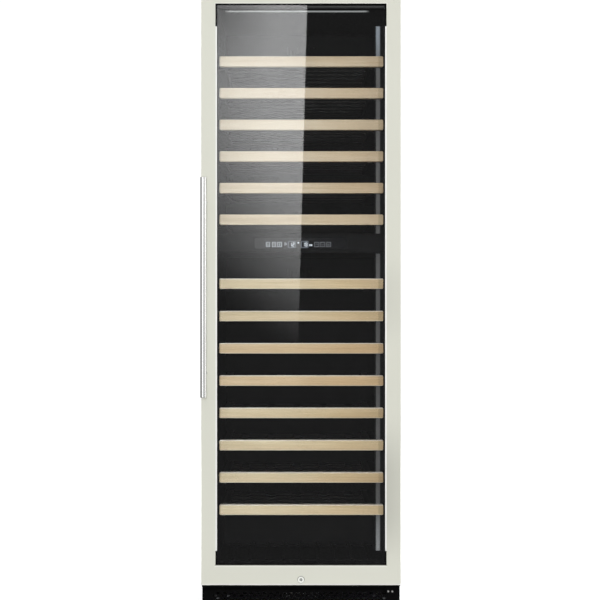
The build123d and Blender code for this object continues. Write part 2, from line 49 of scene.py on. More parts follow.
# ------------------------------------------------------------------ node helpers
class Mat:
    """A material under construction, with short calls for the nodes that it uses."""

    def __init__(self, name, principled=True):
        self.mat = bpy.data.materials.new(name)
        self.mat.use_nodes = True
        self.tree = self.mat.node_tree
        self.tree.nodes.clear()
        self.out = self.tree.nodes.new("ShaderNodeOutputMaterial")
        self.place = None
        if principled:
            self.bsdf = self.tree.nodes.new("ShaderNodeBsdfPrincipled")
            self.tree.links.new(self.bsdf.outputs[0], self.out.inputs[0])

    def put(self, socket, value):
        if isinstance(value, bpy.types.NodeSocket):
            self.tree.links.new(value, socket)
        else:
            socket.default_value = value

    def set(self, **values):
        for key, value in values.items():
            self.put(self.bsdf.inputs[key.replace("_", " ")], value)

    def node(self, kind, **props):
        n = self.tree.nodes.new(kind)
        for key, value in props.items():
            setattr(n, key, value)
        return n

    def coords(self):
        if self.place is None:
            self.place = self.node("ShaderNodeTexCoord").outputs["Object"]
        return self.place

    def axes(self, vector=None):
        n = self.node("ShaderNodeSeparateXYZ")
        self.put(n.inputs[0], vector or self.coords())
        return n.outputs

    def scaled(self, scale, vector=None, move=None):
        n = self.node("ShaderNodeVectorMath", operation="MULTIPLY_ADD")
        self.put(n.inputs[0], vector or self.coords())
        n.inputs[1].default_value = scale
        if move is not None:
            self.put(n.inputs[2], move)
        return n.outputs[0]

    def math(self, operation, a, b=0.0, c=0.0, clamp=False):
        n = self.node("ShaderNodeMath", operation=operation, use_clamp=clamp)
        for socket, value in zip(n.inputs, (a, b, c)):
            self.put(socket, value)
        return n.outputs[0]

    def noise(self, vector=None, scale=1.0, detail=2.0, rough=0.5, distortion=0.0):
        n = self.node("ShaderNodeTexNoise")
        self.put(n.inputs["Vector"], vector or self.coords())
        n.inputs["Scale"].default_value = scale
        n.inputs["Detail"].default_value = detail
        n.inputs["Roughness"].default_value = rough
        n.inputs["Distortion"].default_value = distortion
        return n.outputs[0]

    def cells(self, vector=None, scale=1.0, feature="F1", output="Distance", randomness=1.0):
        n = self.node("ShaderNodeTexVoronoi", feature=feature)
        self.put(n.inputs["Vector"], vector or self.coords())
        n.inputs["Scale"].default_value = scale
        n.inputs["Randomness"].default_value = randomness
        return n.outputs[output]

    def span(self, value, a0, a1, b0, b1, smooth=False):
        n = self.node("ShaderNodeMapRange", interpolation_type="SMOOTHSTEP" if smooth else "LINEAR")
        self.put(n.inputs["Value"], value)
        for key, v in (("From Min", a0), ("From Max", a1), ("To Min", b0), ("To Max", b1)):
            n.inputs[key].default_value = v
        return n.outputs["Result"]

    def ramp(self, value, *stops):
        n = self.node("ShaderNodeValToRGB")
        self.put(n.inputs[0], value)
        els = n.color_ramp.elements
        while len(els) < len(stops):
            els.new(0.5)
        for e, (pos, colour) in zip(els, stops):
            e.position = pos
            e.color = (*colour, 1.0)
        return n.outputs[0]

    def mix(self, factor, a, b, blend="MIX"):
        n = self.node("ShaderNodeMix", data_type="RGBA", blend_type=blend)
        self.put(n.inputs["Factor"], factor)
        for socket, value in ((n.inputs[6], a), (n.inputs[7], b)):
            self.put(socket, value if isinstance(value, bpy.types.NodeSocket) else (*value, 1.0))
        return n.outputs[2]

    def bump(self, height, strength, distance, normal=None):
        n = self.node("ShaderNodeBump")
        n.inputs["Strength"].default_value = strength
        n.inputs["Distance"].default_value = distance
        self.put(n.inputs["Height"], height)
        if normal is not None:
            self.put(n.inputs["Normal"], normal)
        return n.outputs[0]


# ------------------------------------------------------------------ materials
def cream_paint():
    """Satin stove enamel with a fine orange peel."""
    m = Mat("cream_paint_enamel")
    broad = m.noise(scale=2.2, detail=3)
    fine = m.noise(scale=420, detail=2)
    colour = m.ramp(broad, (0.30, (0.775, 0.777, 0.680)), (0.70, (0.805, 0.807, 0.708)))
    speck = m.span(m.noise(scale=1600, detail=0), 0.30, 0.72, 0.0, 1.0)
    colour = m.mix(1.0, colour, m.ramp(speck, (0.0, (0.975, 0.975, 0.975)), (1.0, (1.0, 1.0, 1.0))), "MULTIPLY")
    # painted highlight: pale lines along the edges of the opening and along the foot of the door, where light would
    # catch their rolled edges
    x, y, z = m.axes()

    def band(centre, inner, outer, strength):
        away = m.math("ABSOLUTE", m.math("SUBTRACT", z, centre))
        return m.math("MULTIPLY", m.span(away, inner, outer, 1.0, 0.0, True), strength)

    inside = m.math("LESS_THAN", m.math("ABSOLUTE", x), 0.2575)
    painted_light_mask = m.math("MAXIMUM", band(0.1341, 0.0008, 0.0024, 0.75), band(1.8126, 0.0018, 0.0042, 0.55))
    painted_light_mask = m.math("MULTIPLY", painted_light_mask, inside)
    painted_light_mask = m.math("MAXIMUM", painted_light_mask, band(0.0803, 0.0012, 0.0032, 1.0))
    colour = m.mix(painted_light_mask, colour, (0.93, 0.932, 0.87))
    # painted shade: the lower lip of the opening is darkened where it turns away from the light, and the hinge stile
    # is darkened at two heights, most towards its inner edge
    painted_shade_lip = m.math("MULTIPLY", band(0.1376, 0.0008, 0.0018, 0.42), inside)
    stile = m.math("MULTIPLY", m.span(x, 0.2552, 0.2975, 1.0, 0.62), m.math("GREATER_THAN", x, 0.2551))
    tone = m.math("MULTIPLY", m.math("MAXIMUM", band(0.929, 0.02, 0.16, 0.10), band(0.355, 0.05, 0.25, 0.25)), stile)
    shade = m.math("SUBTRACT", 1.0, m.math("MAXIMUM", painted_shade_lip, tone))
    m.set(
        Base_Color=m.mix(1.0, colour, shade, "MULTIPLY"),
        Roughness=m.span(m.noise(scale=55, detail=4), 0.3, 0.7, 0.34, 0.46),
        Normal=m.bump(fine, 0.10, 0.0006),
    )
    m.bsdf.inputs["Coat Weight"].default_value = 0.12
    m.bsdf.inputs["Coat Roughness"].default_value = 0.22
    return m.mat


def black_steel():
    """Black powder coat on sheet steel."""
    m = Mat("black_powder_coat")
    pebble = m.cells(scale=900, feature="SMOOTH_F1")
    broad = m.noise(scale=3.0, detail=4)
    m.set(
        Base_Color=m.ramp(m.noise(scale=38, detail=5), (0.3, (0.012, 0.012, 0.0125)), (0.7, (0.020, 0.020, 0.0205))),
        Roughness=m.span(broad, 0.3, 0.7, 0.40, 0.52),
        Normal=m.bump(pebble, 0.22, 0.0004),
    )
    m.bsdf.inputs["Specular IOR Level"].default_value = 0.35
    return m.mat


def plinth_black():
    """Deep matt black of the perforated plinth, with a little dust lying in its grain."""
    m = Mat("plinth_matt_black")
    pebble = m.cells(scale=1000, feature="SMOOTH_F1")
    dust = m.noise(scale=24, detail=5, rough=0.6)
    m.set(
        Base_Color=m.ramp(dust, (0.35, (0.0022, 0.0022, 0.0023)), (0.75, (0.0044, 0.0044, 0.0045))),
        Roughness=m.span(dust, 0.3, 0.7, 0.48, 0.60),
        Normal=m.bump(pebble, 0.22, 0.0004),
    )
    m.bsdf.inputs["Specular IOR Level"].default_value = 0.09
    return m.mat


def galvanised_steel():
    """Zinc-coated sheet with its spangle."""
    m = Mat("galvanised_sheet")
    warp = m.node("ShaderNodeVectorMath", operation="ADD")
    m.put(warp.inputs[0], m.coords())
    drift = m.node("ShaderNodeTexNoise")
    m.put(drift.inputs["Vector"], m.coords())
    drift.inputs["Scale"].default_value = 90
    shrink = m.node("ShaderNodeVectorMath", operation="SCALE")
    m.put(shrink.inputs[0], drift.outputs["Color"])
    shrink.inputs["Scale"].default_value = 0.009
    m.put(warp.inputs[1], shrink.outputs[0])
    cell = m.node("ShaderNodeTexVoronoi")
    m.put(cell.inputs["Vector"], warp.outputs[0])
    cell.inputs["Scale"].default_value = 120
    tone = m.node("ShaderNodeSeparateColor")
    m.put(tone.inputs[0], cell.outputs["Color"])
    cloud = m.noise(scale=4, detail=5)
    mixed = m.math("MULTIPLY_ADD", tone.outputs[0], 0.55, m.math("MULTIPLY", cloud, 0.45))
    m.set(
        Base_Color=m.ramp(mixed, (0.2, (0.40, 0.41, 0.42)), (0.8, (0.56, 0.57, 0.58))),
        Roughness=m.span(tone.outputs[1], 0.0, 1.0, 0.34, 0.50),
        Normal=m.bump(m.noise(scale=600, detail=2), 0.08, 0.0003),
    )
    m.bsdf.inputs["Metallic"].default_value = 0.85
    return m.mat


def foam():
    """Cut polyurethane foam."""
    m = Mat("insulation_foam_cells")
    bubble = m.cells(scale=700, feature="F1")
    m.set(
        Base_Color=m.ramp(m.noise(scale=30, detail=5), (0.25, (0.62, 0.50, 0.26)), (0.75, (0.76, 0.66, 0.40))),
        Roughness=m.span(bubble, 0.0, 0.8, 0.98, 0.80),
        Normal=m.bump(bubble, 0.5, 0.0008),
    )
    return m.mat


def pane(name, tint, face_on):
    """Flat glass: clear along the line of sight, with the mirror that its faces give, and a very faint bloom. face_on is
    the share that a face mirrors when it is looked at squarely."""
    m = Mat(name, principled=False)
    clear = m.node("ShaderNodeBsdfTransparent")
    shine = m.node("ShaderNodeBsdfGlossy")
    slant = m.node("ShaderNodeLayerWeight")
    slant.inputs["Blend"].default_value = 0.5
    edge = m.math("MULTIPLY_ADD", m.math("POWER", slant.outputs["Facing"], 5.0), 1.0 - face_on, face_on)
    bloom = m.noise(scale=3.2, detail=4, rough=0.6)
    m.put(clear.inputs["Color"], m.ramp(bloom, (0.3, tint), (0.7, tuple(min(1.0, t * 1.012) for t in tint))))
    shine.inputs["Color"].default_value = (0.955, 0.956, 0.957, 1.0)
    m.put(shine.inputs["Roughness"], m.span(m.noise(scale=14, detail=5, rough=0.65), 0.35, 0.75, 0.0, 0.018))
    both = m.node("ShaderNodeMixShader")
    m.put(both.inputs[0], edge)
    m.put(both.inputs[1], clear.outputs[0])
    m.put(both.inputs[2], shine.outputs[0])
    m.put(m.out.inputs[0], both.outputs[0])
    return m.mat


def black_glass():
    """Gloss black control strip with faint wiping marks."""
    m = Mat("black_glass_fascia")
    wipe = m.noise(m.scaled((30, 30, 90)), detail=4)
    m.set(
        Base_Color=m.ramp(wipe, (0.3, (0.006, 0.006, 0.007)), (0.7, (0.011, 0.011, 0.013))),
        Roughness=m.span(wipe, 0.3, 0.75, 0.05, 0.14),
    )
    return m.mat


def stainless():
    """Brushed stainless bar, brushed along its length."""
    m = Mat("brushed_stainless")
    line = m.noise(m.scaled((900, 900, 3)), detail=2, rough=0.5)
    patch = m.noise(m.scaled((60, 60, 6)), detail=3)
    m.set(
        Base_Color=m.ramp(line, (0.25, (0.74, 0.74, 0.73)), (0.75, (0.81, 0.81, 0.80))),
        Roughness=m.math("ADD", m.span(line, 0.25, 0.75, 0.11, 0.15), m.span(patch, 0.3, 0.7, 0.0, 0.03)),
        Normal=m.bump(line, 0.012, 0.0002),
    )
    m.bsdf.inputs["Metallic"].default_value = 1.0
    return m.mat


def handle_steel():
    """Stainless bar, brushed along its length; its left side is painted dark as shade, and its right side carries a
    painted highlight as a pale, rough, barely metallic band.
    """
    m = Mat("handle_bar_stainless")
    x, y, z = m.axes()
    line = m.noise(m.scaled((900, 900, 3)), detail=2, rough=0.5)
    patch = m.noise(m.scaled((60, 60, 6)), detail=3)
    # painted shade down the left side of the bar, painted highlight down its right
    left = m.span(x, -0.2968, -0.2938, 0.80, 0.0, True)
    right = m.span(x, -0.2826, -0.2811, 0.0, 1.0, True)
    steel = m.ramp(line, (0.25, (0.74, 0.74, 0.73)), (0.75, (0.81, 0.81, 0.80)))
    steel = m.mix(left, steel, (0.17, 0.17, 0.175))
    m.set(
        Base_Color=m.mix(right, steel, (0.84, 0.84, 0.80)),
        Metallic=m.span(right, 0.0, 1.0, 1.0, 0.12),
        Specular_Tint=m.ramp(left, (0.0, (1.0, 1.0, 1.0)), (0.8, (0.40, 0.40, 0.41))),
        Roughness=m.math("ADD", m.math("ADD", m.span(line, 0.25, 0.75, 0.11, 0.15), m.span(patch, 0.3, 0.7, 0.0, 0.03)), m.math("MULTIPLY", right, 0.3)),
        Normal=m.bump(line, 0.012, 0.0002),
    )
    return m.mat


def bright_trim():
    """Satin aluminium strip, with painted shade along the inner edge of each strip and on the outer edge of the left
    one.
    """
    m = Mat("bright_trim_strip")
    line = m.noise(m.scaled((1800, 1800, 25)), detail=3)
    x, y, z = m.axes()
    # painted shade: a dark line along each strip's inner edge, and a darker outer edge on the left strip
    painted_shade_lip = m.span(m.math("ABSOLUTE", m.math("SUBTRACT", x, 0.00035)), 0.2506, 0.2511, 1.0, 0.0, True)
    m.set(
        Base_Color=m.mix(m.math("MAXIMUM", painted_shade_lip, m.span(x, -0.2550, -0.2536, 0.245, 0.0)), m.ramp(line, (0.25, (0.92, 0.92, 0.885)), (0.75, (0.97, 0.97, 0.935))), (0.03, 0.03, 0.03)),
        Roughness=m.span(line, 0.25, 0.75, 0.42, 0.52),
        Normal=m.bump(line, 0.05, 0.0002),
    )
    m.bsdf.inputs["Metallic"].default_value = 0.25
    return m.mat


def chrome():
    """Satin chrome of the lock and screws."""
    m = Mat("satin_chrome")
    ring = m.noise(scale=900, detail=3)
    m.set(
        Base_Color=m.ramp(m.noise(scale=160, detail=4), (0.3, (0.80, 0.80, 0.78)), (0.7, (0.90, 0.90, 0.88))),
        Roughness=m.span(ring, 0.3, 0.7, 0.22, 0.32),
        Normal=m.bump(ring, 0.05, 0.0002),
    )
    m.bsdf.inputs["Metallic"].default_value = 0.22
    return m.mat


def lock_chrome():
    """Satin chrome collar with a painted shadow ring round its edge, darker at the top."""
    m = Mat("lock_collar_chrome")
    x, y, z = m.axes()
    up = m.math("SUBTRACT", z, 0.095)
    reach = m.math("SQRT", m.math("ADD", m.math("MULTIPLY", x, x), m.math("MULTIPLY", up, up)))
    # painted shadow round the collar's edge, darker at the top than at the foot
    painted_shadow_ring = m.math("MULTIPLY", m.span(reach, 0.0084, 0.0094, 0.0, 1.0, True), m.span(up, -0.006, 0.002, 0.30, 0.80))
    fine = m.noise(scale=900, detail=3)
    pale = m.ramp(m.noise(scale=160, detail=4), (0.3, (0.87, 0.88, 0.81)), (0.7, (0.935, 0.945, 0.875)))
    m.set(
        Base_Color=m.mix(painted_shadow_ring, pale, (0.20, 0.20, 0.19)),
        Roughness=m.span(fine, 0.3, 0.7, 0.24, 0.34),
        Normal=m.bump(fine, 0.05, 0.0002),
    )
    m.bsdf.inputs["Metallic"].default_value = 0.15
    return m.mat


def zinc_screw():
    """Zinc screw heads; the two on the lower bracket are painted near black round a bright crown, as painted shade of
    a recess.
    """
    m = Mat("zinc_screw_head")
    x, y, z = m.axes()
    across = m.math("SUBTRACT", m.math("ABSOLUTE", m.math("SUBTRACT", x, 0.269)), 0.006)
    up = m.math("SUBTRACT", z, 0.051)
    reach = m.math("SQRT", m.math("ADD", m.math("MULTIPLY", across, across), m.math("MULTIPLY", up, up)))
    # painted shade: near black round the crown of the two lower bracket screws
    painted_light_mask = m.math("MULTIPLY", m.span(reach, 0.0019, 0.0034, 0.0, 1.0, True), m.math("MULTIPLY", m.math("LESS_THAN", y, 0.0), m.math("LESS_THAN", z, 0.1)))
    fine = m.noise(scale=900, detail=3)
    pale = m.ramp(m.noise(scale=160, detail=4), (0.3, (0.50, 0.50, 0.48)), (0.7, (0.60, 0.60, 0.58)))
    m.set(
        Base_Color=m.mix(painted_light_mask, pale, (0.02, 0.02, 0.02)),
        Roughness=m.span(fine, 0.3, 0.7, 0.26, 0.36),
        Normal=m.bump(fine, 0.05, 0.0002),
    )
    m.bsdf.inputs["Metallic"].default_value = 0.22
    return m.mat


def spacer_grey():
    """Grey spacer bead, with painted shade under the rail above it and a painted highlight line just below that,
    fading downward.
    """
    m = Mat("spacer_bead_grey")
    x, y, z = m.axes()
    cloud = m.noise(m.scaled((12, 90, 90)), detail=3)
    lit = m.span(z, 1.7995, 1.8085, 0.0, 1.0)
    m.set(
        Base_Color=m.mix(1.0, m.ramp(lit, (0.0, (0.020, 0.0205, 0.0205)), (0.74, (0.104, 0.106, 0.104)), (0.84, (0.012, 0.012, 0.012))), m.ramp(cloud, (0.3, (0.9, 0.9, 0.9)), (0.7, (1.0, 1.0, 1.0))), "MULTIPLY"),
        Roughness=m.span(cloud, 0.3, 0.7, 0.5, 0.62),
    )
    m.bsdf.inputs["Specular IOR Level"].default_value = 0.2
    return m.mat


def aluminium():
    """Mill-finish aluminium."""
    m = Mat("mill_aluminium")
    line = m.noise(m.scaled((40, 900, 900)), detail=3)
    m.set(
        Base_Color=m.ramp(line, (0.25, (0.55, 0.56, 0.57)), (0.75, (0.74, 0.75, 0.76))),
        Roughness=m.span(m.noise(scale=90, detail=3), 0.3, 0.7, 0.34, 0.48),
        Normal=m.bump(line, 0.08, 0.0002),
    )
    m.bsdf.inputs["Metallic"].default_value = 1.0
    return m.mat


def rubber(name, low, high):
    """Matt elastomer with a little bloom."""
    m = Mat(name)
    m.bsdf.inputs["Specular IOR Level"].default_value = 0.12
    bloom = m.noise(scale=70, detail=5, rough=0.6)
    m.set(
        Base_Color=m.ramp(bloom, (0.3, low), (0.75, high)),
        Roughness=m.span(bloom, 0.3, 0.7, 0.58, 0.74),
        Normal=m.bump(m.noise(scale=1400, detail=2), 0.12, 0.0002),
    )
    return m.mat


def black_plastic():
    """Moulded black plastic with a leather-fine spark finish."""
    m = Mat("black_moulded_plastic")
    grain = m.cells(scale=1100, feature="SMOOTH_F1")
    cloud = m.noise(scale=16, detail=4)
    m.set(
        Base_Color=m.ramp(cloud, (0.3, (0.0050, 0.0050, 0.0053)), (0.7, (0.0092, 0.0092, 0.0096))),
        Roughness=m.span(m.noise(scale=120, detail=3), 0.3, 0.7, 0.46, 0.60),
        Normal=m.bump(grain, 0.06, 0.0002),
    )
    m.bsdf.inputs["Specular IOR Level"].default_value = 0.17
    return m.mat


def white_plastic():
    """Natural acetal."""
    m = Mat("white_acetal")
    m.set(
        Base_Color=m.ramp(m.noise(scale=60, detail=4), (0.3, (0.74, 0.74, 0.70)), (0.7, (0.82, 0.82, 0.79))),
        Roughness=m.span(m.noise(scale=200, detail=3), 0.3, 0.7, 0.34, 0.46),
        Normal=m.bump(m.noise(scale=900, detail=2), 0.06, 0.0002),
    )
    return m.mat


def light_diffuser():
    """Frosted lens of the light strips, with the fine ribs of an extrusion; its middle carries more light than its
    edges. Its colour is also painted lighter along the lit middles, upward and at the ends, and darker elsewhere, as
    painted light that goes with the glow."""
    m = Mat("frosted_light_lens")
    x, y, z = m.axes()
    rib = m.math("SINE", m.math("MULTIPLY", x, 3600.0))
    cloud = m.noise(m.scaled((30, 30, 2.4)), detail=3)
    roof = m.math("GREATER_THAN", z, 1.79)
    ends = m.math("MAXIMUM", m.span(z, 1.60, 1.76, 0.0, 1.0, True), m.span(z, 0.34, 0.17, 0.0, 1.0, True))
    upright = m.span(m.math("ABSOLUTE", m.math("SUBTRACT", x, 0.2339)), 0.0040, 0.0074, 1.0, 0.0, True)
    bar = m.math(
        "MULTIPLY",
        m.span(m.math("ABSOLUTE", m.math("SUBTRACT", z, 1.8059)), 0.0006, 0.0037, 1.0, 0.0, True),
        m.span(m.math("ABSOLUTE", m.math("ADD", x, 0.012)), 0.204, 0.221, 1.0, 0.0, True),
    )
    core = m.math("ADD", m.math("MULTIPLY", bar, roof), m.math("MULTIPLY", upright, m.math("SUBTRACT", 1.0, roof)))
    # painted light: the lens colour is lighter upward, at the ends and along the lit middles, and darkened elsewhere
    body = m.ramp(cloud, (0.25, (0.144, 0.146, 0.145)), (0.75, (0.186, 0.188, 0.187)))
    body = m.mix(1.0, body, m.ramp(m.span(z, 0.85, 1.45, 0.0, 1.0), (0.0, (0.92, 0.92, 0.92)), (1.0, (1.18, 1.18, 1.17))), "MULTIPLY")
    lit = m.math("MAXIMUM", m.math("MULTIPLY", ends, 0.085), m.math("MULTIPLY", roof, 0.295))
    colour = m.mix(ends, body, m.ramp(z, (0.2, (0.303, 0.311, 0.309)), (0.9, (0.335, 0.39, 0.445))))
    colour = m.mix(roof, colour, (0.355, 0.374, 0.371))
    m.set(
        Base_Color=m.mix(1.0, colour, m.ramp(core, (0.0, (0.22, 0.22, 0.22)), (1.0, (1.0, 1.0, 1.0))), "MULTIPLY"),
        Roughness=m.span(m.noise(scale=420, detail=2), 0.3, 0.7, 0.32, 0.44),
        Normal=m.bump(rib, 0.25, 0.0003),
        Emission_Color=m.ramp(roof, (0.0, (0.90, 0.96, 1.0)), (1.0, (0.95, 1.0, 0.99))),
        Emission_Strength=m.math("MULTIPLY", lit, core),
    )
    return m.mat


def beech():
    """Oiled beech front boards; the slats and side beams behind them are painted near black as shade. The grain runs
    along X in the boards and slats, and along Y in the side beams."""
    m = Mat("oiled_beech")
    x, y, z = m.axes()
    info = m.node("ShaderNodeObjectInfo")
    tag = info.outputs["Random"]
    # side beams: behind the front board and outside the slats
    behind = m.math("GREATER_THAN", y, yd(36.2))
    left = m.math("LESS_THAN", x, -0.2249)
    right = m.math("GREATER_THAN", x, 0.1999)
    beam = m.math("MULTIPLY", behind, m.math("MAXIMUM", left, right))
    along = m.math("ADD", m.math("MULTIPLY", x, m.math("SUBTRACT", 1.0, beam)), m.math("MULTIPLY", y, beam))
    across = m.math("ADD", m.math("MULTIPLY", y, m.math("SUBTRACT", 1.0, beam)), m.math("MULTIPLY", x, beam))
    grain = m.node("ShaderNodeCombineXYZ")
    m.put(grain.inputs[0], m.math("ADD", along, m.math("MULTIPLY", tag, 9.0)))
    m.put(grain.inputs[1], across)
    m.put(grain.inputs[2], z)
    g = grain.outputs[0]
    year = m.noise(m.scaled((1.6, 60, 60), g), detail=4, rough=0.55, distortion=0.4)
    fibre = m.noise(m.scaled((9, 900, 900), g), detail=3, rough=0.6)
    fleck = m.noise(m.scaled((120, 1500, 1500), g), detail=1)
    base = m.ramp(year, (0.22, (0.674, 0.504, 0.298)), (0.45, (0.770, 0.596, 0.374)), (0.60, (0.815, 0.648, 0.418)), (0.80, (0.714, 0.541, 0.325)))
    streak = m.ramp(fibre, (0.25, (0.80, 0.76, 0.70)), (0.60, (1.0, 1.0, 1.0)), (0.85, (1.05, 1.05, 1.05)))
    ray = m.ramp(fleck, (0.62, (1.0, 1.0, 1.0)), (0.70, (0.74, 0.64, 0.52)))
    tone = m.ramp(tag, (0.0, (0.985, 0.975, 0.96)), (1.0, (1.035, 1.035, 1.04)))
    # painted light: the boards turn bluer towards the upper zone
    painted_cool_light = m.ramp(m.span(z, 1.10, 1.45, 0.0, 1.0), (0.0, (1.0, 1.0, 1.0)), (0.15, (1.0, 1.03, 1.16)), (1.0, (0.928, 0.962, 1.10)))
    colour = m.mix(0.85, base, streak, "MULTIPLY")
    colour = m.mix(0.75, colour, ray, "MULTIPLY")
    colour = m.mix(1.0, colour, tone, "MULTIPLY")
    colour = m.mix(1.0, colour, painted_cool_light, "MULTIPLY")
    # painted light: a warm cast towards the right of each board
    painted_warm_light = m.ramp(m.span(x, -0.06, 0.16, 0.0, 1.0, True), (0.0, (1.0, 1.0, 1.0)), (1.0, (0.995, 0.955, 0.885)))
    colour = m.mix(1.0, colour, painted_warm_light, "MULTIPLY")
    # two boards are cut from redder wood
    red = m.math("MULTIPLY", m.span(z, 0.62, 0.65, 0.0, 1.0), m.span(z, 0.82, 0.85, 1.0, 0.0))
    colour = m.mix(1.0, colour, m.ramp(red, (0.0, (1.0, 1.0, 1.0)), (1.0, (0.965, 0.89, 0.84))), "MULTIPLY")
    # painted shade: the front face darkens near the right end of each board
    painted_end_shade = m.math("MULTIPLY", m.span(x, 0.2315, 0.2365, 0.0, 1.0, True), m.math("SUBTRACT", 1.0, behind))
    colour = m.mix(m.math("MULTIPLY", painted_end_shade, 0.33), colour, (0.30, 0.19, 0.095))
    # painted shade: the left end of each front board darkens
    corner = m.math("MULTIPLY", m.span(x, -0.2468, -0.2420, 1.0, 0.0), m.math("SUBTRACT", 1.0, behind))
    colour = m.mix(m.math("MULTIPLY", corner, 0.55), colour, (0.12, 0.090, 0.060))
    # painted highlight: a pale band along the top edge and top face of each lower board, and a fainter one at its
    # foot
    drop = m.math("FRACT", m.math("MULTIPLY", m.math("SUBTRACT", 0.9939, z), 1.0 / 0.0977))
    painted_edge_highlight = m.math("MAXIMUM", m.span(drop, 0.024, 0.036, 0.80, 0.0), m.span(drop, 0.296, 0.312, 0.0, 0.35))
    colour = m.mix(m.math("MULTIPLY", painted_edge_highlight, m.math("LESS_THAN", z, 1.05)), colour, (0.95, 0.85, 0.74))
    # painted shade: the slats and side beams behind the front board are made near black
    painted_shade_black = m.ramp(fibre, (0.25, (0.0055, 0.0048, 0.0042)), (0.75, (0.014, 0.012, 0.0105)))
    colour = m.mix(behind, colour, painted_shade_black)
    height = m.math("ADD", fibre, m.math("MULTIPLY", fleck, 0.4))
    # the slats and beams behind the front board carry almost no grain bump
    height = m.math("MULTIPLY", height, m.span(behind, 0.0, 1.0, 1.0, 0.06))
    m.set(
        Base_Color=colour,
        Roughness=m.span(fibre, 0.25, 0.75, 0.56, 0.42),
        Normal=m.bump(height, 0.18, 0.0003),
    )
    return m.mat


def enamel():
    """Black stoved enamel of the compressor."""
    m = Mat("compressor_enamel")
    m.set(
        Base_Color=m.ramp(m.noise(scale=40, detail=5), (0.3, (0.008, 0.008, 0.008)), (0.7, (0.016, 0.016, 0.017))),
        Roughness=m.span(m.noise(scale=25, detail=4), 0.3, 0.7, 0.16, 0.30),
        Normal=m.bump(m.noise(scale=260, detail=2), 0.10, 0.0006),
    )
    return m.mat


def glow(name, colour, strength):
    """Lit mark on the control strip, a little uneven as a segment lamp is."""
    m = Mat(name)
    spot = m.noise(scale=420, detail=2)
    m.set(
        Base_Color=m.ramp(spot, (0.3, (0.020, 0.021, 0.022)), (0.7, (0.035, 0.036, 0.038))),
        Roughness=m.span(spot, 0.3, 0.7, 0.3, 0.4),
        Emission_Color=(*colour, 1.0),
        Emission_Strength=m.span(spot, 0.3, 0.7, strength * 0.85, strength * 1.1),
    )
    return m.mat


SLOTS = {
    "cream_paint": cream_paint(),
    "black_steel": black_steel(),
    "galvanised_steel": galvanised_steel(),
    "insulation_foam": foam(),
    "tinted_glass": pane("tinted_door_glass", (0.958, 0.961, 0.963), 0.0337),
    "clear_glass": pane("clear_door_glass", (0.993, 0.995, 0.994), 0.0337),
    "black_glass": black_glass(),
    "stainless_steel": stainless(),
    "bright_trim": bright_trim(),
    "chrome": chrome(),
    "aluminium": aluminium(),
    "black_rubber": rubber("black_rubber_seal", (0.0035, 0.0035, 0.0035), (0.0065, 0.0065, 0.0065)),
    "black_plastic": black_plastic(),
    "white_plastic": white_plastic(),
    "light_diffuser": light_diffuser(),
    "beech": beech(),
}
PLINTH = plinth_black()
LOCK = lock_chrome()
BY_NODE = {"compressor": enamel(), "handle_bar": handle_steel(), "cabinet_screws": zinc_screw(), "kick_plate": PLINTH, "hinge_bracket_bottom": PLINTH, "lock_body": LOCK, "lock_cylinder": LOCK}

for name, ob in NODES.items():
    for s in ob.material_slots:
        key = s.material.name.split(".")[0]
        s.material = BY_NODE.get(name) or SLOTS[key]


# ------------------------------------------------------------------ mesh helpers (millimetres in, metres out)
def finish_mesh(bm, name, material, body):
    bmesh.ops.recalc_face_normals(bm, faces=bm.faces)
    bm.transform(Matrix.Scale(0.001, 4))
    me = bpy.data.meshes.new(name)
    bm.to_mesh(me)
    bm.free()
    ob = bpy.data.objects.new(name, me)
    scene.collection.objects.link(ob)
    me.materials.append(material)
    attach(ob, body)
    return ob


def prism(bm, loop, d0, d1):
    """A closed outline of (x, z) points, from depth d0 back to d1."""
    front = [bm.verts.new((x, Y_CAB + d0, z)) for x, z in loop]
    back = [bm.verts.new((x, Y_CAB + d1, z)) for x, z in loop]
    bm.faces.new(front)
    bm.faces.new(back[::-1])
    for i in range(len(loop)):
        j = (i + 1) % len(loop)
        bm.faces.new((front[i], back[i], back[j], front[j]))


def ring(bm, outer, inner, d0, d1):
    """The band between two outlines with the same number of points."""
    rows = [[bm.verts.new((x, Y_CAB + d, z)) for x, z in loop] for d, loop in ((d0, outer), (d0, inner), (d1, inner), (d1, outer))]
    for a in range(4):
        r, s = rows[a], rows[(a + 1) % 4]
        for i in range(len(r)):
            j = (i + 1) % len(r)
            bm.faces.new((r[i], r[j], s[j], s[i]))


def rrect(x0, x1, z0, z1, r, n=4):
    """Rounded rectangle outline."""
    pts = []
    for cx, cz, a in ((x1 - r, z1 - r, 0), (x0 + r, z1 - r, 90), (x0 + r, z0 + r, 180), (x1 - r, z0 + r, 270)):
        for k in range(n + 1):
            t = math.radians(a + 90 * k / n)
            pts.append((cx + r * math.cos(t), cz + r * math.sin(t)))
    return pts


def stroke(bm, pts, w, d0, d1, closed=False):
    """A drawn line of width w."""
    n = len(pts)
    left, right = [], []
    for i in range(n):
        p = Vector(pts[i])
        a = Vector(pts[i - 1]) if (i or closed) else None
        b = Vector(pts[(i + 1) % n]) if (i < n - 1 or closed) else None
        u = (p - a).normalized() if a is not None else None
        v = (b - p).normalized() if b is not None else None
        if u is None:
            t = v
        elif v is None:
            t = u
        else:
            t = (u + v).normalized()
        side = Vector((-t.y, t.x))
        k = 1.0
        if u is not None and v is not None:
            k = 1.0 / max(0.4, side.dot(Vector((-u.y, u.x))))
        left.append(tuple(p + side * (w / 2 * k)))
        right.append(tuple(p - side * (w / 2 * k)))
    if closed:
        ring(bm, left, right, d0, d1)
    else:
        prism(bm, left + right[::-1], d0, d1)


